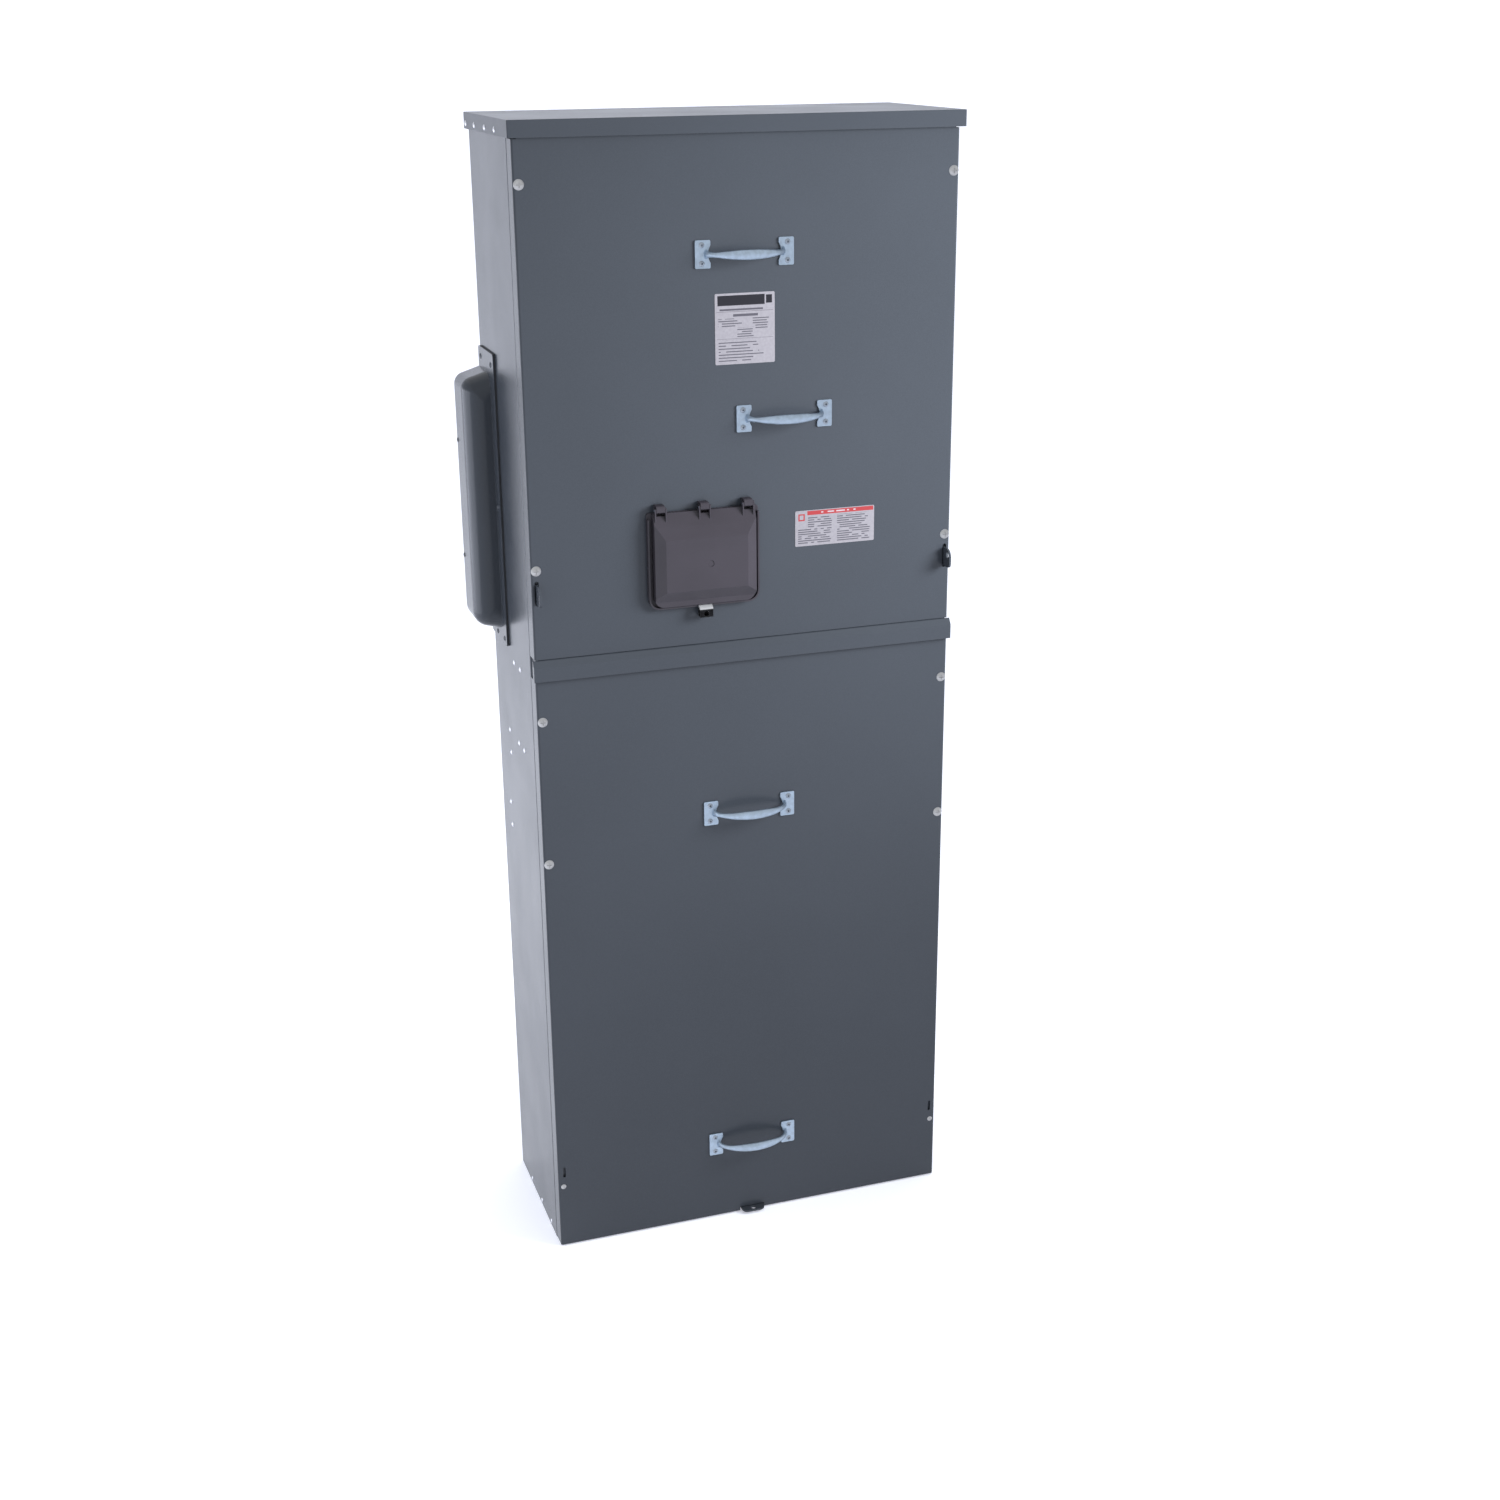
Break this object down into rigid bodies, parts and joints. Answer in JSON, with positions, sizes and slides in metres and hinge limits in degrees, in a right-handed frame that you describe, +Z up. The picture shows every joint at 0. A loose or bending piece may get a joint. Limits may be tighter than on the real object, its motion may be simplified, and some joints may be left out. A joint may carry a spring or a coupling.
{
  "type": "meter socket enclosure",
  "caption": "Floor-standing grey steel service section: drip cap, two lift-off covers with pull handles, breaker-handle door, side bus hood and a bus and breaker inside.",
  "frame": {"origin": "on the floor under the floor pan, midway between the side walls and midway between the cover faces and the back panel", "axes": "+X to the viewer's right, +Y to the back, +Z up; the covers face -Y"},
  "size_m": [0.7004, 0.3127, 1.73],
  "materials": {
    "enclosure_paint": "semi-gloss grey powder coat",
    "zinc_steel": "clear zinc plate",
    "hasp_steel": "dark plated steel",
    "plated_bar": "tin-plated bar, satin",
    "lug_aluminium": "bare extruded aluminium",
    "door_plastic": "moulded, fine texture",
    "gasket_rubber": "black closed-cell rubber",
    "label_vinyl": "printed vinyl without lettering",
    "breaker_black": "thermoset moulding",
    "toggle_black": "moulded",
    "insulator_red": "glass-filled polyester",
    "button_red": "moulded",
    "dial_grey": "moulded"
  },
  "bodies": {
    "enclosure": {"back_panel": "enclosure_paint", "bottom_endwall": "enclosure_paint", "bottom_seal_tab": "enclosure_paint", "breaker_base": "breaker_black", "breaker_cover": "breaker_black", "breaker_screws": "zinc_steel", "bus_bolts": "zinc_steel", "bus_insulators": "insulator_red", "bus_supports": "insulator_red", "divider_shelf": "enclosure_paint", "drip_rail": "enclosure_paint", "enclosure_rivets": "zinc_steel", "gland_plate": "enclosure_paint", "ground_bar": "lug_aluminium", "hood_gasket": "gasket_rubber", "left_side_panel": "enclosure_paint", "line_bars": "plated_bar", "line_support_channel": "zinc_steel", "load_strap_a": "plated_bar", "load_strap_b": "plated_bar", "load_strap_c": "plated_bar", "lug_set_screws": "zinc_steel", "mounting_pan": "zinc_steel", "neutral_bus_bar": "plated_bar", "neutral_riser": "plated_bar", "pan_standoffs": "zinc_steel", "panel_screws": "zinc_steel", "phase_bus_bars": "plated_bar", "right_side_panel": "enclosure_paint", "side_hood": "enclosure_paint", "top_cap": "enclosure_paint", "top_header": "enclosure_paint", "trip_unit": "breaker_black", "upper_seal_hasps": "enclosure_paint", "wire_lugs": "lug_aluminium"},
    "upper_cover": {"upper_cover": "enclosure_paint", "upper_cover_screws": "zinc_steel", "upper_handle_rivets": "zinc_steel", "upper_handle_top": "zinc_steel", "upper_handle_bottom": "zinc_steel", "rating_label": "label_vinyl", "notice_label": "label_vinyl", "door_frame": "door_plastic", "door_hinge_pins": "zinc_steel", "door_gasket": "gasket_rubber", "door_staple": "hasp_steel"},
    "lower_cover": {"lower_cover": "enclosure_paint", "lower_cover_screws": "zinc_steel", "lower_seal_screws": "zinc_steel", "lower_handle_rivets": "zinc_steel", "lower_handle_top": "zinc_steel", "lower_handle_bottom": "zinc_steel"},
    "breaker_door": {"door_lid": "door_plastic", "door_hasp": "hasp_steel", "door_hasp_rivets": "hasp_steel"},
    "breaker_toggle": {"breaker_toggle": "toggle_black"},
    "trip_button": {"trip_button": "button_red"},
    "pickup_dial": {"pickup_dial": "dial_grey"},
    "instantaneous_dial": {"instantaneous_dial": "dial_grey"}
  },
  "joints": [
    {"name": "upper_cover_tilt", "type": "hinge", "parent": "enclosure", "child": "upper_cover", "pos_m": [0, -0.139, 1.705], "axis": [-1, 0, 0], "range_deg": [0, 35]},
    {"name": "lower_cover_tilt", "type": "hinge", "parent": "enclosure", "child": "lower_cover", "pos_m": [0, -0.139, 0.952], "axis": [-1, 0, 0], "range_deg": [0, 35]},
    {"name": "breaker_door_hinge", "type": "hinge", "parent": "upper_cover", "child": "breaker_door", "pos_m": [-0.068, -0.151, 1.193], "axis": [-1, 0, 0], "range_deg": [0, 110]},
    {"name": "breaker_toggle_throw", "type": "hinge", "parent": "enclosure", "child": "breaker_toggle", "pos_m": [-0.068, -0.085, 1.117], "axis": [1, 0, 0], "range_deg": [0, 38]},
    {"name": "trip_button_push", "type": "slide", "parent": "enclosure", "child": "trip_button", "axis": [0, 1, 0], "range_m": [0, 0.0025], "stiffness_N_per_m": 400},
    {"name": "pickup_dial_turn", "type": "hinge", "parent": "enclosure", "child": "pickup_dial", "pos_m": [-0.108, -0.118, 1.027], "axis": [0, -1, 0], "range_deg": [0, 270]},
    {"name": "instantaneous_dial_turn", "type": "hinge", "parent": "enclosure", "child": "instantaneous_dial", "pos_m": [-0.058, -0.118, 1.027], "axis": [0, -1, 0], "range_deg": [0, 270]}
  ]
}
